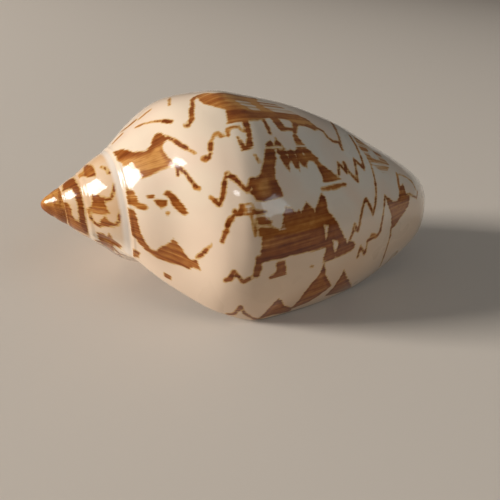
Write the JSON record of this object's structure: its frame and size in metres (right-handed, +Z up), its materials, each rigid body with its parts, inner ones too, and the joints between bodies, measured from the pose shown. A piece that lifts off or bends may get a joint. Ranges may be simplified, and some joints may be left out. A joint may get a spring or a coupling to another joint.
{
  "type": "volute shell",
  "caption": "Dextral volute seashell lying on its aperture: low blunt spire, broad shoulder with a soft keel, long open aperture with folds on the columella, and a notched front end.",
  "frame": {"origin": "centre of the bounding box's base, on the surface that the shell lies on", "axes": "+Z up; the shell's axis lies along X, with the apex towards -X and the front end towards +X; the outer lip is on the -Y side"},
  "size_m": [0.1094, 0.0574, 0.0498],
  "materials": {
    "volute_shell": "polished natural shell, cream with brown tent and zigzag markings"
  },
  "bodies": {
    "root": {"volute_shell": "volute_shell"}
  },
  "joints": []
}
